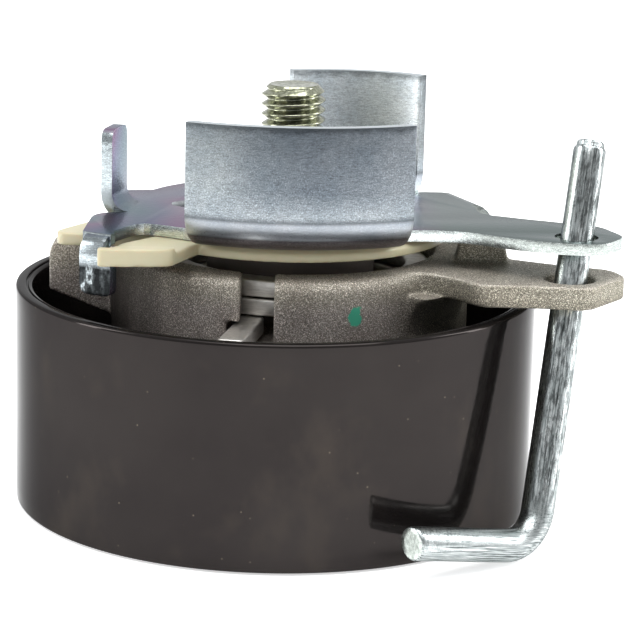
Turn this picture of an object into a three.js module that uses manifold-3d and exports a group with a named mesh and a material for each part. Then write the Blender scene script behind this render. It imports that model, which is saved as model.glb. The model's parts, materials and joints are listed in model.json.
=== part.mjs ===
// Eccentric belt tensioner idler: a pulley on a sprung cast arm, a stamped base plate and a lock pin.
// Millimetres, +Z up. The origin is on the mounting bolt's axis, in the plane the pulley stands on.
import * as THREE from "three";
import { mergeVertices } from "three/addons/utils/BufferGeometryUtils.js";
import Module from "manifold-3d";

const wasm = await Module();
wasm.setup();

// Driving dimensions
const PULLEY = { x: -1.6, y: -4, radius: 32.5, width: 27.4, wall: 2.2 };
const BEARING = { bore: 15, outside: 23.5, bottom: 1, top: 13, pitch: 19.25, ball: 2.8, count: 10 };
const SHEET = 1.4;
const PLATE_BOTTOM = 35;
const PLATE_TOP = PLATE_BOTTOM + SHEET;
const CUP = { radius: 22.6, inside: 18.3, floor: 23.4, bottom: 14.6, top: 31.7, tower: 10.6 };
const EAR_BOTTOM = 28.9;
const BORE = 8.05;
const SLEEVE = { inside: 4.3, outside: 7, neck: 6.6, pocket: 5.4, bottom: 8.9, top: 38.2 };
const BOLT = { radius: 4, pitch: 1.25, tip: 51.9, head: 5.6, flange: 8.5, flangeTop: 7, flats: 13 };
const COUNTERBORE = 9.2;
const DISC = { radius: 20.1, bottom: 33.36, top: 34.9, ridge: 35.5, bore: 7.3 };
const SPRING = { radius: 16.1, width: 3, height: 2.1, pitch: 2.32, turns: 2.5, bottom: 24.9, start: -110.8 };
const TANG = { bend: 2.2, turn: 80, length: 11.5 };
const PIN = {
  radius: 2,
  bend: 5,
  foot: [34.7, -14.9],
  corner: 1.3,
  top: 47.4,
  lean: [0.137, 0.36],
  nib: 1.7,
};
const PIN_LEG = { way: [-0.78, -0.61, 0.2], length: 19.6 };
const PIN_HOLE = { plate: 2.65, ear: 3 };
const FRONT_WALL = { x: 0, y: 4.6, radius: 28.6, top: 50.2, from: -115.5, to: -58.8 };
const REAR_WALL = { x: 6, y: -2, radius: 18, top: 51.7, from: 52.4, to: 112 };
const BEND = 4;
const TAB = { x: -19.4, y: -3.2, angle: 168, radius: 3.5, root: 4.5, end: 46.4, half: 3.3, corner: 1.6 };
const LEG = {
  x: -22.2,
  y: -19,
  angle: -117,
  radius: 2.6,
  root: 3,
  end: 29.2,
  half: 1.55,
  foot: 2.75,
  ankle: 33,
};
const STOP = { x: 21.2, y: 8, angle: 23, radius: 3.4, root: 4.6, end: 32.2, half: 4.2, corner: 1 };
const DIMPLE = { x: -12.9, y: -0.3, radius: 3.9, depth: 0.7 };
const BUSH = { inside: 7.08, outside: 8, lower: [9.2, 17], upper: [23, 31] };
const WASHER = { inside: 4.35, outside: 8.8, bottom: 7.3, top: 8.6 };
const RETAINER = { inside: 4.1, outside: 5.1, bottom: 36.8, top: 38 };
const RACE = { inner: 17.3, outer: 21.2, gap: 0.2 };
const CAGE = { inside: 18.5, outside: 20, bottom: 3.1, top: 10.9 };
const SEAL = { inside: 17.6, outside: 21.1, thick: 0.7, inset: 0.2 };
const WEB = { bottom: 5, top: 10, hub: 26.2 };

// Materials
function material(colour, roughness, metalness) {
  return new THREE.MeshStandardMaterial({ color: colour, roughness, metalness });
}
const ZINC = material(0xb4bcc6, 0.38, 0.9);
const STEEL = material(0xa9a9a4, 0.35, 1);
const CAST = material(0x8d877c, 0.62, 0.85);
const NYLON = material(0xe0d8ae, 0.55, 0);
const PHENOLIC = material(0x1a1614, 0.32, 0);
const RUBBER = material(0x2a2624, 0.7, 0);
const BRONZE = material(0x9a7b4f, 0.5, 0.8);

// Solids
function radians(degrees) {
  return (degrees * Math.PI) / 180;
}

function solid(geometry) {
  const bare = geometry.clone();
  bare.deleteAttribute("normal");
  bare.deleteAttribute("uv");
  const merged = mergeVertices(bare, 1e-4);
  const index = merged.index.array;
  const kept = [];
  for (let i = 0; i < index.length; i += 3) {
    const [a, b, c] = index.slice(i, i + 3);
    if (a !== b && b !== c && c !== a) kept.push(a, b, c);
  }
  const vertProperties = new Float32Array(merged.attributes.position.array);
  const build = (triVerts) => new wasm.Manifold(new wasm.Mesh({ numProp: 3, vertProperties, triVerts }));
  const made = build(new Uint32Array(kept));
  return made.volume() > 0 ? made : build(new Uint32Array(kept.reverse()));
}

function geometryOf(body) {
  const { numProp, vertProperties, triVerts } = body.getMesh();
  const points = [];
  for (let i = 0; i < vertProperties.length; i += numProp) points.push(...vertProperties.slice(i, i + 3));
  const geometry = new THREE.BufferGeometry();
  geometry.setAttribute("position", new THREE.Float32BufferAttribute(points, 3));
  geometry.setIndex([...triVerts]);
  geometry.computeVertexNormals();
  return geometry;
}

// A solid turned about a vertical axis at x, y from a closed profile of [radius, height] points.
function turned(profile, x = 0, y = 0, segments = 32) {
  const points = profile.map(([r, z]) => new THREE.Vector2(r, z));
  const open = profile[0][0] === 0 && profile[profile.length - 1][0] === 0;
  if (!open) points.push(points[0].clone());
  return solid(new THREE.LatheGeometry(points, segments).rotateX(Math.PI / 2).translate(x, y, 0));
}

function disc(radius, bottom, top, x = 0, y = 0, segments = 32) {
  return turned([[0, bottom], [radius, bottom], [radius, top], [0, top]], x, y, segments);
}

function ring(inside, outside, bottom, top, x = 0, y = 0, segments = 32) {
  return turned([[inside, bottom], [outside, bottom], [outside, top], [inside, top]], x, y, segments);
}

function extruded(shape, bottom, top, segments = 12) {
  const options = { depth: top - bottom, bevelEnabled: false, curveSegments: segments };
  return solid(new THREE.ExtrudeGeometry(shape, options).translate(0, 0, bottom));
}

// An outline whose corners are rounded by the radius given as each point's third number, or by
// less where the edges beside it are short.
function rounded(points) {
  const shape = new THREE.Shape();
  points.forEach(([x, y, r = 0], i) => {
    const here = new THREE.Vector2(x, y);
    const toward = (other) => {
      const away = new THREE.Vector2(other[0], other[1]).sub(here);
      return here.clone().add(away.setLength(Math.min(r, 0.45 * away.length())));
    };
    const a = toward(points[(i + points.length - 1) % points.length]);
    const b = toward(points[(i + 1) % points.length]);
    if (i === 0) shape.moveTo(a.x, a.y);
    else shape.lineTo(a.x, a.y);
    if (r > 0) shape.quadraticCurveTo(x, y, b.x, b.y);
  });
  shape.closePath();
  return shape;
}

function slab(points, bottom, top, segments = 4) {
  return extruded(rounded(points), bottom, top, segments);
}

// Points on an arc about x, y, as [x, y] pairs from one angle to another in degrees.
function arc(x, y, radius, from, to, steps) {
  return Array.from({ length: steps + 1 }, (_, i) => {
    const angle = radians(from + ((to - from) * i) / steps);
    return [x + radius * Math.cos(angle), y + radius * Math.sin(angle)];
  });
}

// A solid through matching rings of points, with flat ends.
function swept(rings) {
  const sides = rings[0].length;
  const last = (rings.length - 1) * sides;
  const index = [];
  for (let i = 0; i + 1 < rings.length; i++) {
    for (let j = 0; j < sides; j++) {
      const a = i * sides + j;
      const b = i * sides + ((j + 1) % sides);
      index.push(a, b, b + sides, a, b + sides, a + sides);
    }
  }
  for (let j = 1; j + 1 < sides; j++) {
    index.push(0, j + 1, j, last, last + j, last + j + 1);
  }
  const geometry = new THREE.BufferGeometry();
  const points = rings.flat().flatMap((p) => [p.x, p.y, p.z]);
  geometry.setAttribute("position", new THREE.Float32BufferAttribute(points, 3));
  geometry.setIndex(index);
  return solid(geometry);
}

// Side profile of a strip that leaves the plate level and turns through a right angle, in
// [distance outward, height] points; the outer face ends at distance 0.
function bentProfile(root, radius, end, up) {
  const flip = (z) => (up ? z : PLATE_BOTTOM + PLATE_TOP - z);
  const centre = PLATE_BOTTOM + radius;
  const outer = arc(-radius, centre, radius, -90, 0, 6);
  const inner = arc(-radius, centre, radius - SHEET, 0, -90, 6);
  const profile = [[-root, PLATE_BOTTOM], ...outer, [0, flip(end)], [-SHEET, flip(end)], ...inner];
  return [...profile, [-root, PLATE_TOP]].map(([d, z]) => [d, flip(z)]);
}

// A wall bent up from the plate along an arc.
function curvedWall({ x, y, radius, top, from, to }) {
  const profile = bentProfile(BEND + 1.2, BEND, top, true).map(([d, z]) => [radius + d, z]);
  const sector = [[0, 0], ...arc(0, 0, 2 * radius, from, to, 2)];
  const wedge = new THREE.Shape(sector.map((p) => new THREE.Vector2(...p)));
  const cutter = extruded(wedge, PLATE_BOTTOM - 5, top + 5).translate([x, y, 0]);
  return turned(profile, x, y, 120).intersect(cutter);
}

// A straight tab bent at a root line centred on x, y and facing angle degrees. Its outline holds
// [distance across, height, corner radius] points.
function straightTab({ x, y, angle, outline, radius, root, end, up }) {
  const reach = 20;
  const profile = bentProfile(root, radius, end, up).map((p) => new THREE.Vector2(...p));
  const strip = new THREE.ExtrudeGeometry(new THREE.Shape(profile), { depth: reach, bevelEnabled: false });
  strip.translate(radius, 0, -reach / 2).rotateX(Math.PI / 2);
  const options = { depth: reach, bevelEnabled: false, curveSegments: 4 };
  const mask = new THREE.ExtrudeGeometry(rounded(outline), options);
  mask.translate(0, 0, -reach / 2).rotateX(Math.PI / 2).rotateZ(Math.PI / 2);
  return solid(strip).intersect(solid(mask)).rotate([0, 0, angle]).translate([x, y, 0]);
}

// Lock pin
const pinAxis = new THREE.Vector3(...PIN.lean, 1).normalize();

function onPinAxis(z) {
  const rise = z - PLATE_TOP;
  return new THREE.Vector3(PIN.foot[0] + PIN.lean[0] * rise, PIN.foot[1] + PIN.lean[1] * rise, z);
}

function lockPin() {
  const corner = onPinAxis(PIN.corner);
  const legWay = new THREE.Vector3(...PIN_LEG.way).normalize();
  const upWay = pinAxis.clone();
  const turn = Math.PI - upWay.angleTo(legWay);
  const tangent = PIN.bend * Math.tan(turn / 2);
  const middle = upWay.clone().add(legWay).normalize();
  const centre = corner.clone().addScaledVector(middle, PIN.bend / Math.cos(turn / 2));
  const side = new THREE.Vector3().crossVectors(upWay, legWay).normalize();
  const rings = [];
  const add = (place, way, radius) => {
    const other = new THREE.Vector3().crossVectors(way, side).normalize();
    rings.push(arc(0, 0, radius, 0, 337.5, 15).map(([u, v]) =>
      place.clone().addScaledVector(side, u).addScaledVector(other, v)));
  };
  const top = onPinAxis(PIN.top);
  const down = upWay.clone().negate();
  const ends = [
    [0, PIN.nib - 0.3],
    [0.3, PIN.nib],
    [0.8, PIN.nib],
    [0.8, PIN.radius - 0.15],
    [1, PIN.radius],
  ];
  for (const [depth, radius] of ends) add(top.clone().addScaledVector(down, depth), down, radius);
  const first = corner.clone().addScaledVector(upWay, tangent).sub(centre);
  for (let i = 0; i <= 8; i++) {
    const spin = (-turn * i) / 8;
    const way = down.clone().applyAxisAngle(side, spin);
    add(centre.clone().add(first.clone().applyAxisAngle(side, spin)), way, PIN.radius);
  }
  add(corner.clone().addScaledVector(legWay, PIN_LEG.length - 0.3), legWay, PIN.radius);
  add(corner.clone().addScaledVector(legWay, PIN_LEG.length), legWay, PIN.radius - 0.3);
  return swept(rings);
}

// A straight cutter along the pin's own line, for the holes it passes through.
function pinHole(radius, level, reach) {
  const place = onPinAxis(level);
  return disc(radius, level - reach, level + reach, place.x, place.y, 32);
}

// Base plate: stamped sheet with two curved walls, a raised tab, a hooked finger and a drilled ear
function basePlate() {
  const { x, y, radius, from, to } = FRONT_WALL;
  const front = arc(x, y, radius - BEND - 0.6, from, to, 12);
  const rear = arc(REAR_WALL.x, REAR_WALL.y, REAR_WALL.radius - BEND - 0.6, REAR_WALL.from, REAR_WALL.to, 8);
  const outline = [
    ...front,
    [14.2, -13.6, 0.8],
    [20.65, -13.3, 3],
    [27.6, -17.6, 3],
    [33, -19.4, 2],
    [37.6, -19.5, 1.8],
    [40.6, -14.5, 1.8],
    [38.1, -8.4, 1.6],
    [28.5, -4.55, 2],
    [23.7, -2.2, 1.5],
    [22.9, 4.1],
    [19.6, 11.9],
    [16.6, 11.8, 0.6],
    ...rear,
    [-2.2, 12.6, 1],
    [-4.5, 19.3, 2],
    ...arc(0, 0, 20, 108, 154, 8),
    [-21.6, 8, 0.8],
    [-20.5, 1],
    [-19.8, -6.4, 0.6],
    [-24.2, -7.6, 3],
    [-24.5, -18.9],
    [-21, -20.7],
    [-20.9, -18.4, 1.2],
    [-18.3, -13.2, 2.4],
    [-15.2, -14.2, 2],
  ];
  const oblong = ({ half, end, corner }, from) => [
    [-half, from],
    [-half, end, corner],
    [half, end, corner],
    [half, from],
  ];
  const leg = [
    [-LEG.half, PLATE_TOP + 1],
    [-LEG.half, LEG.end, 1.4],
    [LEG.foot, LEG.end, 0.9],
    [LEG.foot, LEG.ankle, 0.4],
    [LEG.half, LEG.ankle + 0.3],
    [LEG.half, PLATE_TOP + 1],
  ];
  const tabs = [
    curvedWall(FRONT_WALL),
    curvedWall(REAR_WALL),
    straightTab({ ...TAB, outline: oblong(TAB, PLATE_BOTTOM - 1), up: true }),
    straightTab({ ...LEG, outline: leg, up: false }),
    straightTab({ ...STOP, outline: oblong(STOP, PLATE_TOP + 1), up: false }),
  ];
  let body = slab(outline, PLATE_BOTTOM, PLATE_TOP);
  for (const bent of tabs) body = body.add(bent);
  const dimple = solid(new THREE.SphereGeometry(DIMPLE.radius, 24, 16))
    .translate([DIMPLE.x, DIMPLE.y, PLATE_TOP + DIMPLE.radius - DIMPLE.depth]);
  return body
    .subtract(disc(SLEEVE.neck + 0.1, 30, 40))
    .subtract(pinHole(PIN_HOLE.plate, PLATE_BOTTOM + SHEET / 2, 2))
    .subtract(dimple);
}

// Cast arm: eccentric hub, spring cup, stop lug and drilled ear in one casting
function tensionArm() {
  const cup = [
    [0, CUP.bottom],
    [18.6, CUP.bottom],
    [20, CUP.bottom + 1],
    [CUP.radius, CUP.bottom + 2.2],
    [CUP.radius, CUP.top - 1.2],
    [CUP.radius - 0.35, CUP.top - 0.4],
    [CUP.radius - 1.1, CUP.top],
    [0, CUP.top],
  ];
  const hub = [
    [0, 0.6],
    [BEARING.bore - 0.7, 0.6],
    [BEARING.bore - 0.12, 1.2],
    [BEARING.bore - 0.12, BEARING.top + 0.1],
    [17.2, BEARING.top + 0.1],
    [17.2, CUP.bottom + 0.5],
    [0, CUP.bottom + 0.5],
  ];
  const ear = [
    [8, -17],
    [15.6, -15.4, 2],
    [20.2, -18.6, 3],
    [22.8, -22.2, 1.5],
    [28, -21.8, 4],
    [35.8, -22.8, 1.6],
    [41, -15.2, 1.6],
    [39.5, -11.3, 1.4],
    [31.5, -8.4, 3],
    [27.8, -6.4, 1],
    [14, -5.2],
  ];
  const fillet = [
    [CUP.radius - 1, 24.4],
    [CUP.radius, 24.4],
    [CUP.radius + 0.5, 26.6],
    [CUP.radius + 1.5, 28.2],
    [CUP.radius + 3.2, EAR_BOTTOM + 0.2],
    [CUP.radius - 1, EAR_BOTTOM + 0.2],
  ];
  const earSector = extruded(
    new THREE.Shape([[0, 0], ...arc(0, 0, 40, -50, -18, 2)].map((p) => new THREE.Vector2(...p))),
    20,
    32,
  );
  const block = new THREE.Shape(
    [[20.3, 31.4], [21, 34.3], [26.4, 34.3], [27.1, 31.4]].map((p) => new THREE.Vector2(...p)),
  );
  const blockBody = new THREE.ExtrudeGeometry(block, { depth: 3.2, bevelEnabled: false });
  const lug = new THREE.Shape();
  lug.moveTo(-30.1, 25.8);
  lug.lineTo(-18.9, 21.5);
  lug.lineTo(-18.9, 30.6);
  lug.lineTo(-25.4, 30.8);
  lug.quadraticCurveTo(-26, 32.4, -27.7, 32.4);
  lug.quadraticCurveTo(-30.1, 32.4, -30.1, 30);
  const lugBody = new THREE.ExtrudeGeometry(lug, { depth: 4.4, bevelEnabled: false, curveSegments: 5 });
  const cavity = ring(CUP.tower, CUP.inside, CUP.floor, CUP.top + 3, 0, 0, 48);
  const slot = slab([[-5.5, -24], [-1.5, -24], [-1.5, -15], [-5.5, -15]], CUP.floor, CUP.top + 1);
  const tailWay = slab([[-7.6, -24], [-5.2, -24], [-5.2, -16], [-6.5, -16]], CUP.floor, 26.4);
  return turned(cup, 0, 0, 48)
    .add(turned(hub, PULLEY.x, PULLEY.y))
    .add(slab(ear, EAR_BOTTOM, CUP.top, 5))
    .add(turned(fillet).intersect(earSector))
    .add(solid(blockBody.rotateX(Math.PI / 2).translate(0, -6.2, 0)))
    .add(solid(lugBody.rotateX(Math.PI / 2).translate(0, 0.2, 0)))
    .subtract(cavity)
    .subtract(slot)
    .subtract(tailWay)
    .subtract(disc(BORE, -1, 40))
    .subtract(disc(COUNTERBORE, -1, SLEEVE.bottom))
    .subtract(pinHole(PIN_HOLE.ear, (EAR_BOTTOM + CUP.top) / 2, 3));
}

// Torsion spring: flat wire wound round the cup's tower, its lower end bent out through the slot
function torsionSpring() {
  const { radius, width, height, pitch, turns, bottom, start } = SPRING;
  const rings = [];
  const section = (x, y, z, outward) => {
    const [ox, oy] = outward;
    const at = (d, h) => new THREE.Vector3(x + ox * d, y + oy * d, z + h);
    const half = width / 2;
    rings.push([at(-half, -height / 2), at(half, -height / 2), at(half, height / 2), at(-half, height / 2)]);
  };
  const [[cx, cy]] = arc(0, 0, radius + TANG.bend, start, start, 1);
  const finish = start - TANG.turn;
  const [[hx, hy]] = arc(0, 0, 1, finish + 90, finish + 90, 1);
  const bends = 6;
  for (const along of [TANG.length, 0]) {
    const [[x, y]] = arc(cx, cy, TANG.bend, finish + 180, finish + 180, 1);
    section(x + hx * along, y + hy * along, bottom, arc(0, 0, 1, finish, finish, 1)[0]);
  }
  for (let i = bends - 1; i > 0; i--) {
    const angle = start - (TANG.turn * i) / bends;
    const [[x, y]] = arc(cx, cy, TANG.bend, angle + 180, angle + 180, 1);
    section(x, y, bottom, arc(0, 0, 1, angle, angle, 1)[0]);
  }
  const steps = turns * 40;
  for (let i = 0; i <= steps; i++) {
    const angle = radians(start) - (i / 40) * 2 * Math.PI;
    const outward = [Math.cos(angle), Math.sin(angle)];
    section(radius * outward[0], radius * outward[1], bottom + (pitch * i) / 40, outward);
  }
  return swept(rings);
}

// Friction disc: a nylon plate with a flat wing, and a ridged lobe that hooks round the finger and
// shows in the scallop in the plate's edge
function frictionDisc() {
  const wing = [
    [-14, 3],
    [-22, 0.2, 1],
    [-26, -6.9, 2],
    [-28.5, -11.3, 1],
    [-27.9, -13.1, 0.8],
    [-12, -13.1],
  ];
  const lobe = [
    [-22.3, -23.5, 0.3],
    [-22.3, -25, 0.7],
    [-13.8, -24.3, 2],
    [-12.2, -20.4, 1],
    [-8, -10],
    [-12, -8],
    [-20.3, -18.5, 1],
    [-20.4, -22.6],
    [-20.8, -23.5],
  ];
  const ridge = [
    [-22.3, -23.5, 0.3],
    [-22.3, -25, 0.7],
    [-13.8, -24.3, 2],
    [-13, -22.4, 1],
    [-20.3, -22.5],
    [-20.8, -23.5],
  ];
  const profile = [
    [DISC.bore, DISC.bottom],
    [DISC.radius, DISC.bottom],
    [DISC.radius, DISC.top - 0.6],
    [DISC.radius - 0.7, DISC.top],
    [DISC.bore, DISC.top],
  ];
  return turned(profile, 0, 0, 48)
    .add(slab(wing, DISC.bottom, DISC.top, 5))
    .add(slab(lobe, DISC.bottom, DISC.top, 5))
    .add(slab(ridge, DISC.bottom, DISC.ridge, 5));
}

// Pivot stack
function pivotShaft() {
  const { inside, outside, neck, pocket, bottom, top } = SLEEVE;
  return turned([
    [inside, bottom],
    [outside - 0.4, bottom],
    [outside, bottom + 0.4],
    [outside, DISC.top],
    [neck, DISC.top],
    [neck, top],
    [pocket, top],
    [pocket, top - 1.7],
    [inside, top - 1.7],
  ]);
}

function mountingBolt() {
  const { radius, pitch, tip, head, flange, flangeTop, flats } = BOLT;
  const root = radius - 0.61 * pitch;
  const threads = 7;
  const profile = [
    [0, head - 1],
    [flange - 1.2, head - 0.2],
    [flange, head + 0.4],
    [flange, flangeTop],
    [radius, flangeTop],
  ];
  for (let i = threads; i > 0; i--) {
    profile.push([radius, tip - 0.5 - i * pitch], [root, tip - 0.5 - (i - 0.5) * pitch]);
  }
  profile.push([radius - 0.1, tip - 0.8], [radius - 0.7, tip], [0, tip]);
  const across = flats / 2 / Math.cos(Math.PI / 6);
  const hexagon = solid(new THREE.CylinderGeometry(across, across, head, 6).rotateX(Math.PI / 2))
    .translate([0, 0, head / 2]);
  const chamfer = turned([
    [0, 0],
    [flats / 2 - 0.1, 0],
    [across + 0.2, 1.1],
    [across + 0.2, head],
    [0, head],
  ]);
  return hexagon.intersect(chamfer).add(turned(profile, 0, 0, 24));
}

// Bearing: a single-row ball bearing on the arm's eccentric hub
function bearingRing(inside, outside, grooveFromOutside) {
  const { bottom, top, pitch, ball } = BEARING;
  const middle = (bottom + top) / 2;
  const face = grooveFromOutside ? outside : inside;
  const groove = ball + RACE.gap;
  const half = Math.acos(Math.abs(face - pitch) / groove);
  const facing = grooveFromOutside ? Math.PI : 0;
  const way = grooveFromOutside ? -1 : 1;
  const notch = Array.from({ length: 5 }, (_, i) => {
    const angle = facing + way * (-half + (half * i) / 2);
    return [pitch + groove * Math.cos(angle), middle + groove * Math.sin(angle)];
  });
  const profile = grooveFromOutside
    ? [[inside, bottom], [outside, bottom], ...notch, [outside, top], [inside, top]]
    : [[outside, bottom], [inside, bottom], ...notch, [inside, top], [outside, top]];
  return turned(profile, PULLEY.x, PULLEY.y);
}

function ballPlace(i) {
  const angle = (2 * Math.PI * i) / BEARING.count;
  const x = PULLEY.x + BEARING.pitch * Math.cos(angle);
  const y = PULLEY.y + BEARING.pitch * Math.sin(angle);
  return new THREE.Vector3(x, y, (BEARING.bottom + BEARING.top) / 2);
}

function ballCage() {
  let cage = ring(CAGE.inside, CAGE.outside, CAGE.bottom, CAGE.top, PULLEY.x, PULLEY.y);
  for (let i = 0; i < BEARING.count; i++) {
    const pocket = new THREE.SphereGeometry(BEARING.ball + 0.3, 10, 6).translate(...ballPlace(i).toArray());
    cage = cage.subtract(solid(pocket));
  }
  return cage;
}

// Pulley: moulded tread, web and bearing seat
function pulleyBody() {
  const { x, y, radius, width, wall } = PULLEY;
  const seat = BEARING.outside + 0.1;
  const inside = radius - wall;
  const { hub } = WEB;
  return turned([
    [seat, BEARING.bottom],
    [seat - 1.2, BEARING.bottom - 0.1],
    [seat - 1.2, 0.2],
    [hub, 0.2],
    [hub + 0.6, WEB.bottom],
    [inside - 0.6, WEB.bottom],
    [inside, 0.8],
    [inside + 0.4, 0],
    [radius - 0.9, 0],
    [radius - 0.3, 0.3],
    [radius, 1],
    [radius, width - 1],
    [radius - 0.3, width - 0.3],
    [radius - 0.9, width],
    [inside + 0.5, width],
    [inside, width - 0.5],
    [inside - 0.6, WEB.top],
    [hub, WEB.top],
    [hub - 0.3, BEARING.top + 0.8],
    [seat, BEARING.top + 0.8],
  ], x, y, 48);
}

// Assembly
const tensioner = new THREE.Group();

function place(name, body, finish) {
  const mesh = new THREE.Mesh(geometryOf(body), finish);
  mesh.name = name;
  tensioner.add(mesh);
}

place("base_plate", basePlate(), ZINC);
place("pivot_shaft", pivotShaft(), STEEL);
place("friction_disc", frictionDisc(), NYLON);
place("retaining_washer", ring(WASHER.inside, WASHER.outside, WASHER.bottom, WASHER.top), STEEL);
place("mounting_bolt", mountingBolt(), STEEL);
place("bolt_retainer", ring(RETAINER.inside, RETAINER.outside, RETAINER.bottom, RETAINER.top), NYLON);
place("tension_arm", tensionArm(), CAST);
place("torsion_spring", torsionSpring(), STEEL);
place("pivot_bush_lower", ring(BUSH.inside, BUSH.outside, ...BUSH.lower), BRONZE);
place("pivot_bush_upper", ring(BUSH.inside, BUSH.outside, ...BUSH.upper), BRONZE);
place("bearing_inner_ring", bearingRing(BEARING.bore, RACE.inner, true), STEEL);
place("bearing_outer_ring", bearingRing(RACE.outer, BEARING.outside, false), STEEL);
for (let i = 0; i < BEARING.count; i++) {
  const ball = new THREE.SphereGeometry(BEARING.ball, 12, 6).translate(...ballPlace(i).toArray());
  place("bearing_ball_" + (i + 1), solid(ball), STEEL);
}
place("ball_cage", ballCage(), NYLON);
const sealLevels = {
  bearing_seal_outer: BEARING.bottom + SEAL.inset,
  bearing_seal_inner: BEARING.top - SEAL.inset - SEAL.thick,
};
for (const [name, level] of Object.entries(sealLevels)) {
  place(name, ring(SEAL.inside, SEAL.outside, level, level + SEAL.thick, PULLEY.x, PULLEY.y), RUBBER);
}
place("pulley", pulleyBody(), PHENOLIC);
place("lock_pin", lockPin(), ZINC);

export default tensioner;
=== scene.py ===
"""A studio scene of an eccentric belt tensioner idler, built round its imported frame, in metres."""

import json
import math

import bmesh
import bpy
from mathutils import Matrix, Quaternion, Vector


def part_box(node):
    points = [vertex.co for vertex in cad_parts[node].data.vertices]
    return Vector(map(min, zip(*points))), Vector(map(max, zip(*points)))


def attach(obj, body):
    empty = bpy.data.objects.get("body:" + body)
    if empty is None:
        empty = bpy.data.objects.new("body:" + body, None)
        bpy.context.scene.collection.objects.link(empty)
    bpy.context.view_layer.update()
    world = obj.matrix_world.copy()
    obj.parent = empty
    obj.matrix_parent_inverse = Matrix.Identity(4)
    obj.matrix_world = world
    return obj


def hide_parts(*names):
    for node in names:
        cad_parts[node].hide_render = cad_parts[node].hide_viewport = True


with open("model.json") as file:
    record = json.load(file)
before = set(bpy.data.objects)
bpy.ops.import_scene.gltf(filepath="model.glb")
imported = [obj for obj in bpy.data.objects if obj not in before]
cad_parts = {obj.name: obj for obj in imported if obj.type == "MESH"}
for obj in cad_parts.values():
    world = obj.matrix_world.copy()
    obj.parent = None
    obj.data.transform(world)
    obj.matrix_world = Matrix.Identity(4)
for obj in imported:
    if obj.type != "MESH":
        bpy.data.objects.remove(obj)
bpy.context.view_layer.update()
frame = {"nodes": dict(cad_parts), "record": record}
MM = 0.001
NODES = frame["nodes"]


def centre(node):
    """The middle of a node's box, in millimetres."""
    low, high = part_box(node)
    return [(a + b) / 2 / MM for a, b in zip(low, high)]


def span(node):
    """A node's lowest and highest z, in millimetres."""
    low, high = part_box(node)
    return low[2] / MM, high[2] / MM


PULLEY_X, PULLEY_Y, _ = centre("pulley")
PULLEY_RADIUS = (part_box("pulley")[1][0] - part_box("pulley")[0][0]) / 2 / MM
PULLEY_TOP = span("pulley")[1]
# Heights, places and directions on the part, in millimetres
PLATE_TOP = 36.4
FRONT_WALL_TOP, REAR_WALL_TOP = 50.2, 51.7
DIMPLE_X, DIMPLE_Y = -12.9, -0.3
DAB_X, DAB_Z = 8.2, 27.3
PIN_WAY = (0.137, 0.36, 1)
PIN_LEG = (-0.78, -0.61, 0.2)
PIN_FOOT = (34.7, -14.9)
BALL_CIRCLE, GROOVE_RADIUS = 19.25, 3
INNER_SHOULDER, OUTER_SHOULDER = 17.3, 21.2
WHITE = (1.0, 1.0, 1.0)


# Mesh building, in millimetres

def piece(name, body, slot, verts, faces, *replaced, smooth=35):
    """A new piece from points in millimetres, riding on a body and standing for CAD nodes."""
    mesh = bpy.data.meshes.new(name)
    mesh.from_pydata([tuple(c * MM for c in v) for v in verts], [], faces)
    return settle(bpy.data.objects.new(name, mesh), body, slot, replaced, smooth)


def settle(obj, body, slot, replaced, smooth):
    """Links an object, turns its faces outward, shades it smooth below an angle and gives it its place
    and its material."""
    bpy.context.scene.collection.objects.link(obj)
    work = bmesh.new()
    work.from_mesh(obj.data)
    bmesh.ops.remove_doubles(work, verts=work.verts, dist=1e-7)
    bmesh.ops.recalc_face_normals(work, faces=work.faces)
    for edge in work.edges:
        edge.smooth = len(edge.link_faces) == 2 and edge.calc_face_angle(0) < math.radians(smooth)
    for face in work.faces:
        face.smooth = True
    work.to_mesh(obj.data)
    work.free()
    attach(obj, body)
    if replaced:
        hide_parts(*replaced)
    cover(obj, slot)
    return obj


def cover(obj, slot):
    """Gives an object one slot's material and no other."""
    obj.data.materials.clear()
    obj.data.materials.append(MATERIALS[slot])


def rounded_profile(points, steps=4):
    """A closed [radius, z] profile whose corners are rounded by each point's third number."""
    result = []
    count = len(points)
    for i, point in enumerate(points):
        here = Vector(point[:2])
        radius = point[2] if len(point) > 2 else 0
        if radius == 0:
            result.append(tuple(here))
            continue
        a = (Vector(points[i - 1][:2]) - here).normalized() * radius
        b = (Vector(points[(i + 1) % count][:2]) - here).normalized() * radius
        for k in range(steps + 1):
            t = k / steps
            result.append(tuple(here + a * (1 - t) ** 2 + b * t ** 2))
    return result


def turned(name, body, slot, profile, *replaced, x=0, y=0, segments=128, smooth=35):
    """A piece turned about the vertical axis at x, y from a closed profile."""
    points = rounded_profile(profile)
    verts = []
    for i in range(segments):
        a = 2 * math.pi * i / segments
        verts += [(x + r * math.cos(a), y + r * math.sin(a), z) for r, z in points]
    count = len(points)
    faces = []
    for i in range(segments):
        here, there = i * count, (i + 1) % segments * count
        for j in range(count):
            k = (j + 1) % count
            faces.append((here + j, there + j, there + k, here + k))
    return piece(name, body, slot, verts, faces, *replaced, smooth=smooth)


def swept(name, body, slot, rings, *replaced, smooth=35):
    """A piece through matching rings of points, closed by a face at each end."""
    sides = len(rings[0])
    verts = [p for ring in rings for p in ring]
    faces = [tuple(range(sides)), tuple(reversed(range(len(verts) - sides, len(verts))))]
    for i in range(len(rings) - 1):
        for j in range(sides):
            k = (j + 1) % sides
            faces.append((i * sides + j, i * sides + k, (i + 1) * sides + k, (i + 1) * sides + j))
    return piece(name, body, slot, verts, faces, *replaced, smooth=smooth)


def copied(node, name):
    """A new object with a copy of a node's mesh."""
    return bpy.data.objects.new(name, NODES[node].data.copy())


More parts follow.
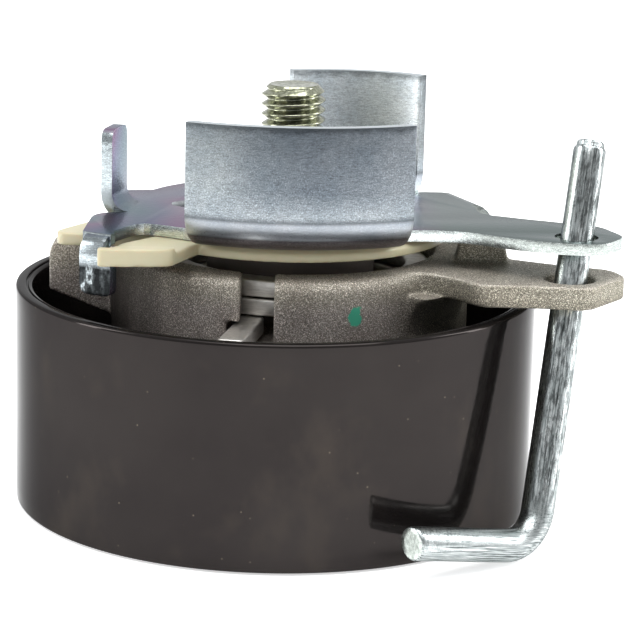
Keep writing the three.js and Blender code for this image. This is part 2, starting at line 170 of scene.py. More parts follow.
def apply_modifiers(obj):
    """Turns an object's modifiers into its mesh."""
    graph = bpy.context.evaluated_depsgraph_get()
    graph.update()
    mesh = bpy.data.meshes.new_from_object(obj.evaluated_get(graph))
    obj.modifiers.clear()
    obj.data = mesh


def softened(node, name, body, slot, voxel, smoothing):
    """A finer copy of a node with its edges rounded, as casting or moulding leaves them."""
    obj = copied(node, name)
    bpy.context.scene.collection.objects.link(obj)
    remesh = obj.modifiers.new("remesh", "REMESH")
    remesh.mode = "VOXEL"
    remesh.voxel_size = voxel * MM
    smooth = obj.modifiers.new("smooth", "SMOOTH")
    smooth.factor = 0.5
    smooth.iterations = smoothing
    apply_modifiers(obj)
    bpy.context.scene.collection.objects.unlink(obj)
    return settle(obj, body, slot, (node,), 75)


def bevelled(node, name, body, slot, width, angle=25):
    """A copy of a node with its flat faces whole and its edges broken."""
    obj = copied(node, name)
    bpy.context.scene.collection.objects.link(obj)
    work = bmesh.new()
    work.from_mesh(obj.data)
    bmesh.ops.remove_doubles(work, verts=work.verts, dist=2e-6)
    limit = math.radians(1)
    bmesh.ops.dissolve_limit(work, angle_limit=limit, verts=work.verts, edges=work.edges)
    work.to_mesh(obj.data)
    work.free()
    bevel = obj.modifiers.new("bevel", "BEVEL")
    bevel.width = width * MM
    bevel.segments = 3
    bevel.limit_method = "ANGLE"
    bevel.angle_limit = math.radians(angle)
    bevel.use_clamp_overlap = True
    apply_modifiers(obj)
    bpy.context.scene.collection.objects.unlink(obj)
    return settle(obj, body, slot, (node,), 32)


# Materials

class Nodes:
    """A small helper that adds and links the nodes of one material."""

    def __init__(self, name, **values):
        self.material = bpy.data.materials.new(name)
        self.material.use_nodes = True
        self.tree = self.material.node_tree
        self.shader = self.tree.nodes["Principled BSDF"]
        for key, value in values.items():
            self.shader.inputs[key.replace("_", " ")].default_value = value
        self.place = self.add("ShaderNodeTexCoord").outputs["Object"]

    def add(self, kind, **inputs):
        """A new node with its inputs set or linked."""
        node = self.tree.nodes.new(kind)
        for key, value in inputs.items():
            self.put(node, key.replace("_", " "), value)
        return node

    def put(self, node, key, value):
        """Sets one input of a node, or links an output to it."""
        socket = node.inputs[key]
        if isinstance(value, bpy.types.NodeSocket):
            self.tree.links.new(value, socket)
        else:
            socket.default_value = value

    def link(self, output, key):
        """Links an output to the shader."""
        self.tree.links.new(output, self.shader.inputs[key])

    def stretched(self, x, y, z):
        """Coordinates scaled along each axis."""
        mapping = self.add("ShaderNodeMapping", Vector=self.place)
        mapping.inputs["Scale"].default_value = (x, y, z)
        return mapping.outputs["Vector"]

    def drawn(self, way, squeeze):
        """Coordinates turned so that a pattern made from them is drawn out along a direction."""
        turn = Vector(way).rotation_difference(Vector((0, 0, 1))).to_euler()
        turned_place = self.add("ShaderNodeMapping", Vector=self.place)
        turned_place.inputs["Rotation"].default_value = turn
        mapping = self.add("ShaderNodeMapping", Vector=turned_place.outputs["Vector"])
        mapping.inputs["Scale"].default_value = (1, 1, squeeze)
        return mapping.outputs["Vector"]

    def noise(self, scale, detail=3, roughness=0.55, vector=None):
        """Soft random cloud."""
        node = self.add("ShaderNodeTexNoise", Vector=vector or self.place, Scale=scale, Detail=detail)
        node.inputs["Roughness"].default_value = roughness
        return node.outputs["Fac"]

    def ramp(self, value, *stops):
        """A grey or a colour for each value from 0 to 1, from stops of a position and a grey or a colour."""
        node = self.add("ShaderNodeValToRGB", Fac=value)
        elements = node.color_ramp.elements
        while len(elements) < len(stops):
            elements.new(0.5)
        for element, (position, colour) in zip(elements, stops):
            element.position = position
            tone = colour if isinstance(colour, tuple) else (colour, colour, colour)
            element.color = (*tone, 1)
        return node.outputs["Color"]

    def mixed(self, factor, a, b, kind="MIX"):
        """Two colours blended by a factor."""
        node = self.tree.nodes.new("ShaderNodeMix")
        node.data_type = "RGBA"
        node.blend_type = kind
        self.put(node, 0, factor)
        colour_a, colour_b, colour_out = 6, 7, 2
        for index, value in ((colour_a, a), (colour_b, b)):
            self.put(node, index, value if isinstance(value, bpy.types.NodeSocket) else (*value, 1))
        return node.outputs[colour_out]

    def maths(self, kind, a, b=0.0):
        """One step of arithmetic."""
        node = self.tree.nodes.new("ShaderNodeMath")
        node.operation = kind
        self.put(node, 0, a)
        self.put(node, 1, b)
        return node.outputs[0]

    def square_sum(self, a, b):
        """The squares of two values, added."""
        return self.maths("ADD", self.maths("POWER", a, 2.0), self.maths("POWER", b, 2.0))

    def bump(self, height, strength, distance):
        """Fine relief from a pattern."""
        node = self.add("ShaderNodeBump", Height=height, Strength=strength, Distance=distance)
        self.link(node.outputs["Normal"], "Normal")

    def axis(self, index):
        """A coordinate of the shaded point, in millimetres."""
        node = self.add("ShaderNodeSeparateXYZ", Vector=self.place)
        return self.maths("MULTIPLY", node.outputs[index], 1 / MM)

    def facing(self, index):
        """A coordinate of the surface's normal on the unmoved object."""
        normal = self.tree.nodes["Texture Coordinate"].outputs["Normal"]
        return self.add("ShaderNodeSeparateXYZ", Vector=normal).outputs[index]

    def first(self, colour):
        """The first channel of a colour."""
        node = self.add("ShaderNodeSeparateColor", Color=colour)
        return node.outputs[0]

    def band(self, value, *stops):
        """A ramp over a value of any range, from stops of a position and a grey or a colour."""
        low, high = stops[0][0], stops[-1][0]
        node = self.add("ShaderNodeMapRange", Value=value)
        node.inputs["From Min"].default_value = low
        node.inputs["From Max"].default_value = high
        return self.ramp(node.outputs[0], *[((place - low) / (high - low), tone) for place, tone in stops])

    def times(self, *colours):
        """The product of several colours or greys."""
        result = colours[0]
        for colour in colours[1:]:
            result = self.mixed(1.0, result, colour, "MULTIPLY")
        return result


def plate_film(m):
    """The thin film that tints the flat sheet, from teal to violet."""
    return m.ramp(m.noise(60, 1), (0.34, (0.15, 0.215, 0.245)), (0.45, (0.20, 0.195, 0.28)),
                  (0.55, (0.275, 0.175, 0.27)), (0.66, (0.17, 0.215, 0.255)))


def plate_top(m, x, y, film):
    """The flat top: filmed, plain grey towards the ear, with painted shade darkening the dimple."""
    top = m.mixed(m.band(x, (12.0, 0.0), (19.0, 1.0)), film, (0.175, 0.205, 0.195))
    off = m.square_sum(m.maths("SUBTRACT", x, DIMPLE_X), m.maths("SUBTRACT", y, DIMPLE_Y))
    # Painted shade: the top is darkened within about 2 mm of the dimple's middle.
    return m.times(top, m.band(off, (3.6, 0.25), (5.2, 1.0)))


def plate_faces(m, x, z, film):
    """The cut edges and the tabs: filmed inside the tab, bright outside it as a painted highlight, painted
    reflection low on the finger and painted shade on its bend.
    """
    # Painted reflection: dark and bright patches low on the finger.
    finger_painted_reflection = m.ramp(m.noise(900, 3, 0.6, m.stretched(1, 1, 0.5)), (0.46, 0.03), (0.58, 0.12), (0.66, 0.75))
    # Painted shade: darker around the finger's bend, from 35.6 to 38.4 mm.
    bend = m.band(z, (34.6, 1.0), (35.6, 0.48), (38.4, 0.55), (40.0, 1.0))
    lower = m.mixed(m.band(z, (32.4, 0.0), (33.4, 1.0)), finger_painted_reflection, bend)
    outer = m.times((0.43, 0.48, 0.50), lower)
    inward = m.band(m.facing(0), (0.3, 0.0), (0.7, 1.0))
    at_tabs = m.band(x, (-24.0, 1.0), (-20.0, 1.0), (-17.0, 0.0))
    # Painted highlight: the cut edges away from the tabs are given a bright colour.
    face = m.mixed(at_tabs, (0.62, 0.67, 0.66), m.mixed(inward, outer, film))
    return m.mixed(m.band(x, (20.0, 0.0), (24.0, 1.0)), face, (0.40, 0.435, 0.415))


def plate_walls(m, x, y, z, flat):
    """The two walls: brighter behind, the front wall given painted reflection darkest in the middle, a
    painted highlight on the bend under a painted dark line, torn bright metal at the top with a painted shade
    line just below it.
    """
    cloud = m.ramp(m.noise(140, 4, 0.7), (0.35, (0.60, 0.625, 0.645)), (0.65, (0.80, 0.795, 0.79)))
    # Painted reflection: the front wall is lighter on the left, darkest in the middle and a little lighter on
    # the right.
    front = m.band(x, (-15.0, (0.40, 0.435, 0.45)), (-8.5, (0.36, 0.395, 0.41)), (-4.5, (0.235, 0.265, 0.29)),
                   (2.0, (0.185, 0.208, 0.234)), (6.0, (0.20, 0.224, 0.25)), (13.5, (0.25, 0.275, 0.30)))
    inner = m.mixed(m.band(m.facing(1), (-0.1, 0.0), (0.1, 1.0)), (0.88, 0.94, 0.97), (0.48, 0.52, 0.55))
    # Painted shade: the rear wall's end face, which faces +x, is darkened.
    end_face = m.band(m.facing(0), (0.5, 0.0), (0.7, 1.0))
    behind = m.mixed(end_face, inner, (0.24, 0.26, 0.27))
    rear = m.band(y, (-1.0, 0.0), (1.0, 1.0))
    # Painted highlight low on the bend, with a painted dark line above it at about 38.9 mm.
    foot_painted_bands = m.band(z, (36.8, (0.78, 0.82, 0.87)), (38.5, (0.46, 0.49, 0.53)), (38.9, (0.17, 0.185, 0.20)),
                  (39.5, (0.37, 0.405, 0.43)), (50.5, (0.34, 0.375, 0.40)))
    bare = m.mixed(m.band(z, (39.6, 0.0), (42.4, 1.0)), foot_painted_bands, m.mixed(rear, front, behind))
    wall_top = m.mixed(rear, (FRONT_WALL_TOP,) * 3, (REAR_WALL_TOP,) * 3)
    below = m.maths("SUBTRACT", wall_top, z)
    # Painted shade line: a ragged band about 1.5 mm deep below each wall's top is darkened.
    ragged = m.maths("ADD", below, m.maths("MULTIPLY", m.noise(700, 4), 1.4))
    painted_shade_line = m.band(ragged, (0.7, 0.55), (1.0, 0.50), (1.6, 1.0))
    rim = m.times(flat, m.band(z, (44.0, 0.0), (46.0, 1.0)))
    return m.mixed(rim, m.times(bare, cloud, painted_shade_line), (0.72, 0.76, 0.78))


def zinc_plate():
    """Bright zinc: frosted walls with fine streaks, bright cut edges, a violet film on the flat sheet."""
    m = Nodes("zinc_plate", Metallic=1.0, Specular_Tint=(0.72, 0.74, 0.75, 1))
    x, y, z = m.axis(0), m.axis(1), m.axis(2)
    level = m.maths("ABSOLUTE", m.facing(2))
    flat = m.band(level, (0.80, 0.0), (0.97, 1.0))
    film = plate_film(m)
    sheet = m.mixed(flat, plate_faces(m, x, z, film), plate_top(m, x, y, film))
    at_stop = m.times(m.band(x, (18.5, 0.0), (19.5, 1.0)), m.band(y, (3.0, 0.0), (4.0, 1.0)))
    # Painted highlights and dark reflection bands across the stop tab's bend, set by how far each face tilts.
    stop_painted_reflection = m.band(level, (0.20, 0.5), (0.45, 0.08), (0.70, 1.7), (0.90, 0.10), (0.98, 1.0))
    sheet = m.times(sheet, m.mixed(at_stop, WHITE, stop_painted_reflection))
    under_wall = m.times(m.band(x, (-15.5, 0.0), (-14.5, 1.0), (14.0, 1.0), (15.0, 0.0)),
                         m.band(y, (-17.0, 1.0), (-15.5, 0.0)))
    shadow = m.band(z, (35.3, (0.27, 0.235, 0.235)), (36.2, (0.20, 0.18, 0.185)), (36.8, (0.09, 0.09, 0.095)))
    is_wall = m.times(m.band(z, (36.55, 0.0), (36.95, 1.0)), m.band(x, (-17.2, 0.0), (-16.8, 1.0)))
    colour = m.mixed(is_wall, m.mixed(under_wall, sheet, shadow), plate_walls(m, x, y, z, flat))
    speck = m.noise(6000, 4, 0.8, m.stretched(1, 1, 1.3))
    streak = m.noise(3200, 4, 0.75, m.stretched(0.4, 0.4, 2.2))
    grain = m.mixed(0.45, m.ramp(speck, (0.36, 0.45), (0.50, 0.92), (0.66, 2.1)),
                    m.ramp(streak, (0.38, 0.55), (0.60, 1.45)))
    frosted = m.maths("MULTIPLY", m.maths("SUBTRACT", 1.0, m.first(flat)),
                      m.band(z, (36.5, 1.0), (36.9, 0.15), (38.8, 0.25), (39.2, 1.0)))
    m.link(m.times(colour, m.mixed(frosted, WHITE, grain)), "Base Color")
    smooth = m.mixed(under_wall, (0.25, 0.25, 0.25), (0.46, 0.46, 0.46))
    m.link(m.mixed(is_wall, smooth, m.ramp(speck, (0.35, 0.46), (0.62, 0.26))), "Roughness")
    height = m.mixed(is_wall, m.noise(1400, 3), m.mixed(0.5, speck, streak))
    m.bump(height, 0.30, 0.00010)
    return m.material


def painted_cast_shade(m, x, z):
    """Painted shade on the casting: dark on the cup's left side, a little dark at the root of the ear."""
    ahead = m.band(m.facing(1), (-0.1, 1.0), (0.1, 0.0))
    left = m.band(x, (-24.0, 1.1), (-22.6, 1.0), (-22.3, 0.10), (-16.5, 0.20), (-9.5, 1.0))
    right = m.band(x, (11.0, 1.0), (15.0, 0.66), (20.0, 0.66))
    on_cup = m.times(ahead, m.band(z, (31.2, 1.0), (32.0, 0.0)))
    low_down = m.times(ahead, m.band(z, (28.6, 1.0), (30.4, 0.0)))
    return m.times(m.mixed(on_cup, WHITE, left), m.mixed(low_down, WHITE, right))


def paint_dab(m, x, y, z):
    """Where the small torn dab of paint lies on the cup."""
    wide = m.maths("MULTIPLY", m.maths("SUBTRACT", x, DAB_X), 1.5)
    tall = m.maths("SUBTRACT", z, DAB_Z)
    reach = m.maths("SQRT", m.square_sum(wide, tall))
    torn = m.maths("SUBTRACT", reach, m.maths("MULTIPLY", m.noise(1100, 4), 2.2))
    return m.times(m.ramp(torn, (0.0, 1.0), (0.25, 0.0)), m.band(y, (-16.0, 1.0), (-14.0, 0.0)))


def cast_aluminium():
    """Tumbled casting: warm grey grains that glint, with a green paint dab on the cup."""
    m = Nodes("cast_aluminium", Metallic=0.72, Specular_Tint=(0.5, 0.5, 0.5, 1))
    x, y, z = m.axis(0), m.axis(1), m.axis(2)
    grain = m.noise(8000, 4, 0.8)
    tone = m.ramp(m.noise(130, 4), (0.35, (0.42, 0.365, 0.330)), (0.65, (0.57, 0.51, 0.465)))
    # Painted light: the ear's up-facing faces are given a lighter colour than its sides.
    ear = m.mixed(m.band(m.facing(2), (0.5, 0.0), (0.9, 1.0)), (0.74, 0.775, 0.69), (1.25, 1.29, 1.20))
    cup = m.band(z, (27.5, WHITE), (29.5, (0.88, 0.90, 0.83)))
    warm = m.mixed(m.band(x, (12.0, 0.0), (18.0, 1.0)), cup, ear)
    glint = m.ramp(grain, (0.42, 0.36), (0.50, 0.60), (0.57, 1.05), (0.63, 3.4))
    # Painted shade: the tower inside the spring is given one plain dark colour without glints.
    tower = m.band(m.square_sum(x, y), (118.0, 1.0), (130.0, 0.0))
    body = m.mixed(tower, m.times(tone, warm, glint, painted_cast_shade(m, x, z)), (0.20, 0.172, 0.155))
    m.link(m.mixed(paint_dab(m, x, y, z), body, (0.09, 0.52, 0.34)), "Base Color")
    m.link(m.ramp(grain, (0.35, 0.60), (0.65, 0.34)), "Roughness")
    m.bump(m.mixed(0.35, grain, m.noise(1500, 3)), 0.75, 0.00016)
    return m.material


def nylon():
    """Natural nylon, a little translucent, with faint moulding waviness."""
    m = Nodes("nylon", Roughness=0.36, Subsurface_Weight=0.15, Subsurface_Scale=0.002)
    m.link(m.ramp(m.noise(70, 3), (0.3, (0.40, 0.365, 0.228)), (0.7, (0.48, 0.44, 0.295))), "Base Color")
    m.bump(m.noise(500, 3), 0.15, 0.0002)
    return m.material


def phenolic():
    """Moulded phenolic: near black with a brown cast, a deep sheen, faint scuffs and pale dust specks."""
    m = Nodes("phenolic", Metallic=0.75, IOR=1.3, Specular_Tint=(0.42, 0.42, 0.42, 1))
    tone = m.ramp(m.noise(45, 4), (0.35, (0.022, 0.0190, 0.0186)), (0.7, (0.030, 0.0262, 0.0248)))
    dust = m.add("ShaderNodeTexVoronoi", Vector=m.place, Scale=900.0)
    spot = m.ramp(dust.outputs["Distance"], (0.03, 1.0), (0.12, 0.0))
    chosen = m.maths("GREATER_THAN", m.first(dust.outputs["Color"]), 0.82)
    fleck = m.maths("MULTIPLY", m.maths("MULTIPLY", spot, chosen), 0.25)
    scuff = m.ramp(m.noise(100, 4, 0.65, m.stretched(1, 1, 0.7)), (0.54, 0.0), (0.80, 0.45))
    haze = m.mixed(scuff, tone, (0.056, 0.046, 0.037))
    m.link(m.mixed(fleck, haze, (0.40, 0.34, 0.25)), "Base Color")
    m.link(m.ramp(m.noise(260, 4, 0.7), (0.35, 0.06), (0.7, 0.14)), "Roughness")
    m.bump(m.noise(900, 3), 0.04, 0.0001)
    return m.material


def zinc_wire():
    """Drawn wire under zinc: dark and bright streaks along the shank and along the bent leg, partly drawing
    lines and partly painted reflection, with painted shade and light by height.
    """
    m = Nodes("zinc_wire", Metallic=1.0, Specular_Tint=(0.60, 0.62, 0.62, 1))
    z = m.axis(2)
    shank = m.noise(6500, 2, 0.6, m.drawn(PIN_WAY, 0.04))
    leg = m.noise(6500, 2, 0.6, m.drawn(PIN_LEG, 0.04))
    lines = m.mixed(m.band(z, (3.5, 0.0), (7.5, 1.0)), leg, shank)
    # The streaks are partly drawing lines and partly painted reflection bands along the wire.
    wire = m.ramp(lines, (0.34, (0.09, 0.10, 0.10)), (0.44, (0.36, 0.40, 0.40)), (0.55, (0.60, 0.64, 0.64)),
                  (0.68, (0.88, 0.92, 0.91)))
    # Painted shade and light by height: darker low on the leg and from 40 to 46 mm, a painted highlight at
    # the top of the nib.
    painted_light_by_height = m.band(z, (3.0, 0.66), (9.0, 1.0), (36.0, 1.0), (40.0, 0.60), (46.0, 0.60), (47.0, 1.2))
    crinkle = m.ramp(m.noise(1900, 4, 0.75, m.drawn(PIN_WAY, 0.30)), (0.42, 0.40), (0.55, 1.12))
    crinkle = m.mixed(m.band(z, (4.0, 0.0), (8.0, 1.0)), WHITE, crinkle)
    along = m.maths("ADD", m.maths("MULTIPLY", m.facing(0), PIN_LEG[0]),
                    m.maths("MULTIPLY", m.facing(1), PIN_LEG[1]))
    end_face = m.band(along, (0.90, 0.0), (0.94, 1.0))
    sheared = m.ramp(m.noise(2600, 4, 0.7), (0.40, (0.36, 0.40, 0.37)), (0.60, (0.62, 0.67, 0.63)))
    m.link(m.mixed(end_face, m.times(wire, painted_light_by_height, crinkle), sheared), "Base Color")
    m.link(m.ramp(lines, (0.35, 0.36), (0.65, 0.22)), "Roughness")
    m.bump(lines, 0.10, 0.00010)
    return m.material


def fine_metal(name, dark, light, rough, smooth, scale=700, along=1.0, strength=0.15):
    """Worked steel or bronze with a fine grain."""
    m = Nodes(name, Metallic=1.0)
    grain = m.noise(scale, 4, 0.65, m.stretched(1, 1, along))
    m.link(m.ramp(grain, (0.35, dark), (0.65, light)), "Base Color")
    m.link(m.ramp(grain, (0.35, rough), (0.65, smooth)), "Roughness")
    m.bump(grain, strength, 0.0001)
    return m.material


def dull_plastic(name, dark, light, rough):
    """Rubber or filled nylon."""
    m = Nodes(name, Roughness=rough)
    grain = m.noise(900, 4)
    m.link(m.ramp(grain, (0.35, dark), (0.65, light)), "Base Color")
    m.bump(grain, 0.2, 0.0001)
    return m.material


MATERIALS = {
    "zinc_plate": zinc_plate(),
    "cast_aluminium": cast_aluminium(),
    "nylon": nylon(),
    "phenolic": phenolic(),
    "zinc_wire": zinc_wire(),
    "turned_steel": fine_metal("turned_steel", (0.42, 0.42, 0.42), (0.60, 0.60, 0.59), 0.38, 0.26, along=6),
    "bolt_steel": fine_metal("bolt_steel", (0.17, 0.18, 0.12), (0.42, 0.43, 0.33), 0.26, 0.14, 1600),
    "spring_steel": fine_metal("spring_steel", (0.62, 0.60, 0.57), (0.80, 0.78, 0.74), 0.50, 0.36, 900, 8),
    "bush_lining": fine_metal("bush_lining", (0.32, 0.22, 0.11), (0.50, 0.37, 0.20), 0.55, 0.38, 1800),
    "bearing_steel": fine_metal("bearing_steel", (0.60, 0.60, 0.61), (0.74, 0.74, 0.75), 0.20, 0.12, 500),
    "cage_nylon": dull_plastic("cage_nylon", (0.10, 0.075, 0.04), (0.16, 0.12, 0.07), 0.5),
    "seal_rubber": dull_plastic("seal_rubber", (0.012, 0.011, 0.010), (0.03, 0.027, 0.025), 0.55),
}


# Pieces

def pulley():
    """Tread, web and bearing seat, with moulded edges and a shallow groove inside the rim."""
    r, top = PULLEY_RADIUS, PULLEY_TOP
    wall = 2.2
    inside = r - wall
    seat, lip, hub = 23.6, 22.4, 26.2
    web_low, web_high, hub_top = 5, 10, 13.8
    profile = [
        (seat, 1), (lip, 0.9), (lip, 0.25, 0.2), (hub, 0.25, 0.4), (hub + 0.6, web_low, 0.6),
        (inside - 0.6, web_low, 0.6), (inside, 0.05, 0.3), (r - 0.02, 0.05, 0.45), (r, 2.2), (r, top - 2.2),
        (r - 0.02, top, 0.4), (inside + 0.95, top, 0.12), (inside + 0.9, top - 0.35, 0.05),
        (inside + 0.65, top - 0.35, 0.05), (inside + 0.6, top - 0.1, 0.08), (inside + 0.15, top - 0.25, 0.15),
        (inside, top - 1), (inside - 0.15, top - 4), (inside - 0.6, web_high, 0.6), (hub, web_high, 0.6),
        (hub - 0.3, hub_top, 0.4), (seat, hub_top, 0.2),
    ]
    turned("pulley_shell", "pulley", "phenolic", profile, "pulley", x=PULLEY_X, y=PULLEY_Y, segments=256)


def bearing():
    """The two grooved rings, the seals with their lips, and round balls."""
    low, high = span("bearing_inner_ring")
    middle = (low + high) / 2
    x, y = PULLEY_X, PULLEY_Y

    def race(edge, shoulder, side):
        """The profile of one ring, from its plain edge to the side with the groove."""
        arc = [math.radians(degrees) for degrees in range(-50, 51, 10)]
        groove = [(BALL_CIRCLE + side * GROOVE_RADIUS * math.cos(a), middle + GROOVE_RADIUS * math.sin(a))
                  for a in arc]
        return [(edge, low, 0.5), (shoulder, low, 0.2), *groove, (shoulder, high, 0.2), (edge, high, 0.5)]

    inner = race(15.0, INNER_SHOULDER, -1)
    outer = race(23.48, OUTER_SHOULDER, 1)
    turned("inner_race", "arm", "bearing_steel", inner, "bearing_inner_ring", x=x, y=y)
    turned("outer_race", "pulley", "bearing_steel", outer, "bearing_outer_ring", x=x, y=y)
    seal_bore, seal_edge = 17.62, 21.08
    for node, sign in (("bearing_seal_outer", 1), ("bearing_seal_inner", -1)):
        a, b = span(node)
        front, back = (a, b) if sign > 0 else (b, a)
        profile = [(seal_bore, back), (seal_bore, front + sign * 0.15, 0.1), (18.1, front, 0.1),
                   (18.6, front + sign * 0.25), (19.0, front + sign * 0.25), (19.3, front, 0.1),
                   (20.6, front, 0.1), (seal_edge, front + sign * 0.2, 0.1), (seal_edge, back)]
        turned(node + "_disc", "pulley", "seal_rubber", profile, node, x=x, y=y)
    ball, pole = 2.79, 0.02
    for i in range(1, 11):
        name = "bearing_ball_%d" % i
        bx, by, bz = centre(name)
        half = [(ball * math.cos(math.radians(a)), bz + ball * math.sin(math.radians(a)))
                for a in range(-88, 89, 8)]
        profile = [(pole, bz - ball), *half, (pole, bz + ball)]
        turned("ball_%d" % i, "cage", "bearing_steel", profile, name, x=bx, y=by, segments=32)


def collar(node, name, body, slot, bore, edge):
    """A plain ring with broken edges, as tall as its node."""
    a, b = span(node)
    profile = [(bore, a, 0.2), (edge, a, 0.3), (edge, b, 0.3), (bore, b, 0.2)]
    turned(name, body, slot, profile, node)


def pivot_stack():
    """Shaft, bushes, washer and captive ring, with their edges broken."""
    a, b = span("pivot_shaft")
    bore, journal, neck, recess, recess_depth, shoulder = 4.3, 7, 6.6, 5.4, 1.7, 34.9
    profile = [(bore, a, 0.3), (journal, a, 0.4), (journal, shoulder, 0.1), (neck, shoulder), (neck, b, 0.3),
               (recess, b, 0.2), (recess, b - recess_depth), (bore, b - recess_depth, 0.2)]
    turned("shaft_sleeve", "base", "turned_steel", profile, "pivot_shaft")
    for node in ("pivot_bush_lower", "pivot_bush_upper"):
        collar(node, node + "_sleeve", "arm", "bush_lining", 7.08, 8)
    collar("retaining_washer", "washer_ring", "base", "turned_steel", 4.35, 8.8)
    collar("bolt_retainer", "captive_ring", "bolt", "nylon", 4.1, 5.1)


def mounting_bolt():
    """Flange bolt with a rolled helical thread."""
    tip = span("mounting_bolt")[1]
    pitch, crest, root, blank, point = 1.25, 4.0, 3.27, 3.95, 3.05
    root_flat, flank, run_out, thread_length = 0.12, 0.76, 1.5, 16
    thread_low = tip - thread_length

    def thread_radius(angle, z):
        """The stem's radius at an angle and a height."""
        phase = (z / pitch - angle / (2 * math.pi)) % 1
        rise = min(abs(phase - 0.5) * 2, 1)
        tooth = root + (crest - root) * min(max((rise - root_flat) / flank, 0), 1)
        into = min(max((z - thread_low) / run_out, 0), 1)
        radius = blank - (blank - tooth) * into
        chamfer = point + tip - z
        return min(radius, chamfer)

    sides, steps = 96, 320
    rings = []
    flange = ((8.2, 5.35), (8.45, 5.7), (8.45, 6.8), (8.2, 6.98), (4.6, 7.0), (4.02, 7.4))
    for ring in flange:
        rings.append([ring] * sides)
    for i in range(steps + 1):
        z = thread_low - 0.5 + (tip - thread_low + 0.5) * i / steps
        rings.append([(thread_radius(2 * math.pi * j / sides, z), z) for j in range(sides)])
    rings.append([(2.9, tip - 0.02)] * sides)
    rings.append([(1.4, tip - 0.18)] * sides)
    points = [[(r * math.cos(2 * math.pi * j / sides), r * math.sin(2 * math.pi * j / sides), z)
               for j, (r, z) in enumerate(ring)] for ring in rings]
    swept("bolt_shank", "bolt", "bolt_steel", points, "mounting_bolt", smooth=50)
    head = []
    half_flats, corner = 6.5, 7.5
    for z, inset in ((0.0, 0.9), (0.0, 0.7), (0.5, 0.0), (5.4, 0.0)):
        ring = []
        for j in range(sides):
            a = 2 * math.pi * j / sides
            flat = half_flats / math.cos((a + math.pi / 6) % (math.pi / 3) - math.pi / 6)
            reach = min(flat, corner - inset)
            ring.append((reach * math.cos(a), reach * math.sin(a), z))
        head.append(ring)
    swept("bolt_head", "bolt", "bolt_steel", head, smooth=25)


def lock_pin():
    """Bent wire with a turned-down nib at its upper end and a sheared lower end."""
    way = Vector(PIN_WAY).normalized()
    leg = Vector(PIN_LEG).normalized()
    bend, radius, length = 5.0, 1.99, 19.6
    corner_level, top_level = 1.3, 47.4

    def on_axis(z):
        """The middle of the pin's straight part at a height."""
        rise = z - PLATE_TOP
        return Vector((PIN_FOOT[0] + PIN_WAY[0] * rise, PIN_FOOT[1] + PIN_WAY[1] * rise, z))

    corner = on_axis(corner_level)
    turn = math.pi - way.angle(leg)
    tangent = bend * math.tan(turn / 2)
    middle = corner + (way + leg).normalized() * bend / math.cos(turn / 2)
    side = way.cross(leg).normalized()
    rings = []

    def add(place, heading, r, slant=0.0):
        """One ring of the round wire, square to its heading."""
        other = heading.cross(side).normalized()
        ring = []
        for j in range(48):
            a = 2 * math.pi * j / 48
            around = side * r * math.cos(a) + other * r * math.sin(a)
            ring.append(place + around + heading * slant * math.sin(a))
        rings.append(ring)

    top = on_axis(top_level)
    nib = ((0.03, 0.6), (0, 1.25), (0.06, 1.5), (0.2, 1.64), (0.4, 1.69), (0.72, 1.69), (0.8, 1.74),
           (0.84, 1.84), (0.98, 1.94), (1.2, radius))
    for depth, r in nib:
        add(top - way * depth, -way, r)
    for i in range(1, 24):
        add(top.lerp(corner + way * tangent, 0.03 + 0.97 * i / 24), -way, radius)
    start = corner + way * tangent - middle
    for i in range(25):
        spin = Quaternion(side, -turn * i / 24)
        add(middle + spin @ start, spin @ -way, radius * (1 - 0.02 * math.sin(math.pi * i / 24)))
    sheared_end = ((8, radius, 0), (1.0, radius, 0.1), (0.72, 1.97, 0.25), (0.5, 1.88, 0.3),
                   (0.42, 1.76, 0.3), (0.42, 1.2, 0.2), (0.44, 0.5, 0.1))
    for short, r, slant in sheared_end:
        add(corner + leg * (length - short), leg, r, slant)
    swept("lock_pin_wire", "pin", "zinc_wire", rings, "lock_pin", smooth=50)


def torsion_spring():
    """Flat wire with rounded corners, wound round the cup's tower, its end bent out through the slot."""
    radius, half_width, half_height, pitch, turns = 16.1, 1.5, 1.05, 2.32, 2.5
    bend, bend_turn, tang = 2.2, math.radians(80), 11.5
    low = span("torsion_spring")[0] + half_height
    section = []
    for sx, sy in ((1, 1), (-1, 1), (-1, -1), (1, -1)):
        quarter = math.atan2(sy, sx) - math.pi / 4
        for k in range(4):
            a = quarter + math.pi / 2 * k / 3
            section.append((sx * (half_width - 0.35) + 0.35 * math.cos(a),
                            sy * (half_height - 0.3) + 0.3 * math.sin(a)))
    rings = []

    def add(place, angle, z, squeeze=1.0):
        """One ring of the flat wire, facing outward at an angle."""
        out = Vector((math.cos(angle), math.sin(angle)))
        rings.append([(*(place + out * d * squeeze), z + h * squeeze) for d, h in section])

    start, steps = math.radians(-110.8), 80
    pivot = Vector((math.cos(start), math.sin(start))) * (radius + bend)
    finish = start - bend_turn
    ahead = Vector((-math.sin(finish), math.cos(finish)))
    straight = pivot - Vector((math.cos(finish), math.sin(finish))) * bend
    rounded_end = ((tang - 0.02, 0.7), (tang - 0.12, 0.88), (tang - 0.35, 0.98), (tang - 0.7, 1.0),
                   (tang / 2, 1.0))
    for along, squeeze in rounded_end:
        add(straight + ahead * along, finish, low, squeeze)
    for i in range(12, 0, -1):
        angle = start - bend_turn * i / 12
        add(pivot - Vector((math.cos(angle), math.sin(angle))) * bend, angle, low)
    for i in range(int(turns * steps) + 1):
        angle = start - i / steps * 2 * math.pi
        add(Vector((math.cos(angle), math.sin(angle))) * radius, angle, low + pitch * i / steps)
    swept("spring_coil", "arm", "spring_steel", rings, "torsion_spring", smooth=50)


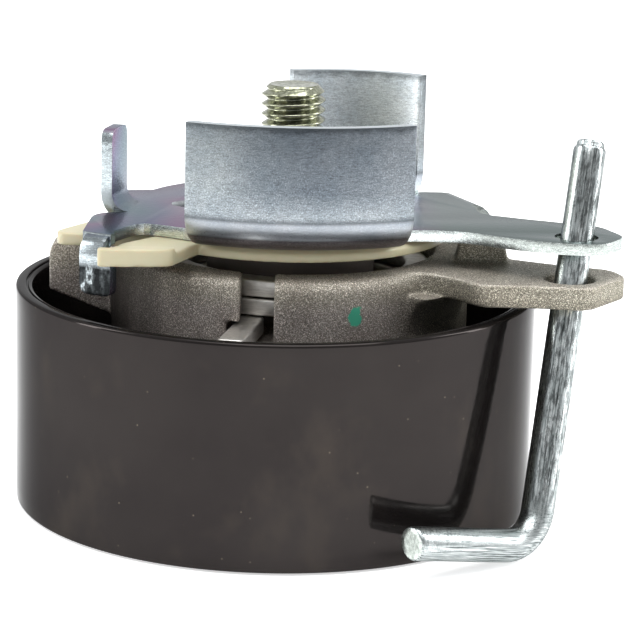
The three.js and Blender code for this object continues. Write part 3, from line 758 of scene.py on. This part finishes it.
pulley()
bearing()
pivot_stack()
mounting_bolt()
lock_pin()
torsion_spring()
softened("tension_arm", "cast_arm", "arm", "cast_aluminium", 0.3, 4)
softened("friction_disc", "nylon_disc", "base", "nylon", 0.22, 4)
softened("ball_cage", "cage_ring", "cage", "cage_nylon", 0.3, 3)
bevelled("base_plate", "stamped_plate", "base", "zinc_plate", 0.22)

SLOTS = {part["node"]: part["material_slot"] for part in frame["record"]["subparts"]}
for node, cad_object in NODES.items():
    cover(cad_object, SLOTS[node])


# Studio

def floor():
    """A plain pale floor."""
    half, drop = 3.0, 0.0002
    corners = [(-half, -half, 0), (half, -half, 0), (half, half, 0), (-half, half, 0)]
    mesh = bpy.data.meshes.new("floor")
    mesh.from_pydata(corners, [], [(0, 1, 2, 3)])
    obj = bpy.data.objects.new("floor", mesh)
    obj.location.z = -drop
    bpy.context.scene.collection.objects.link(obj)
    m = Nodes("floor", Roughness=0.9, Emission_Strength=0.6)
    m.link(m.ramp(m.noise(3, 2), (0.3, 0.90), (0.7, 0.93)), "Base Color")
    mesh.materials.append(m.material)


def softbox(name, place, target, width, height, power):
    """A rectangular area light aimed at a point."""
    light = bpy.data.lights.new(name, "AREA")
    light.shape = "RECTANGLE"
    light.size = width
    light.size_y = height
    light.energy = power
    obj = bpy.data.objects.new(name, light)
    obj.location = place
    obj.rotation_euler = (Vector(target) - Vector(place)).to_track_quat("-Z", "Y").to_euler()
    bpy.context.scene.collection.objects.link(obj)


def studio():
    """Bright surroundings, dimmer in front, with a large light above and one on each side."""
    world = bpy.data.worlds.new("studio")
    bpy.context.scene.world = world
    world.use_nodes = True
    tree = world.node_tree
    background = tree.nodes["Background"]
    direction = tree.nodes.new("ShaderNodeTexCoord").outputs["Generated"]
    parts = tree.nodes.new("ShaderNodeSeparateXYZ")
    tree.links.new(direction, parts.inputs[0])
    ramp = tree.nodes.new("ShaderNodeMapRange")
    tree.links.new(parts.outputs[1], ramp.inputs["Value"])
    ramp.inputs["From Min"].default_value = -0.9
    ramp.inputs["From Max"].default_value = 0.2
    ramp.inputs["To Min"].default_value = 0.45
    ramp.inputs["To Max"].default_value = 0.95
    tree.links.new(ramp.outputs[0], background.inputs["Strength"])
    background.inputs["Color"].default_value = (0.97, 0.985, 1.0, 1)
    target = (0, 0, 0.025)
    softbox("light_above", (0.05, -0.15, 0.55), target, 0.5, 0.5, 3.0)
    softbox("light_left", (-0.5, -0.05, 0.25), target, 0.12, 0.45, 1.6)
    softbox("light_right", (0.5, 0.05, 0.25), target, 0.12, 0.45, 1.6)


def camera():
    """A long lens, low and in front, looking slightly down."""
    eye = Vector((3.976, -319.307, 98.34)) * MM
    target = Vector((3.976, -4.0, 22.65)) * MM
    data = bpy.data.cameras.new("camera")
    data.sensor_width = 36
    data.lens = 144.95
    data.clip_start = 0.01
    obj = bpy.data.objects.new("camera", data)
    aim = (target - eye).to_track_quat("-Z", "Y")
    roll = math.radians(1.42854)
    obj.rotation_euler = (aim @ Quaternion((0, 0, 1), roll)).to_euler()
    obj.location = eye
    bpy.context.scene.collection.objects.link(obj)
    bpy.context.scene.camera = obj


floor()
studio()
camera()
bpy.context.scene.view_settings.view_transform = "Standard"
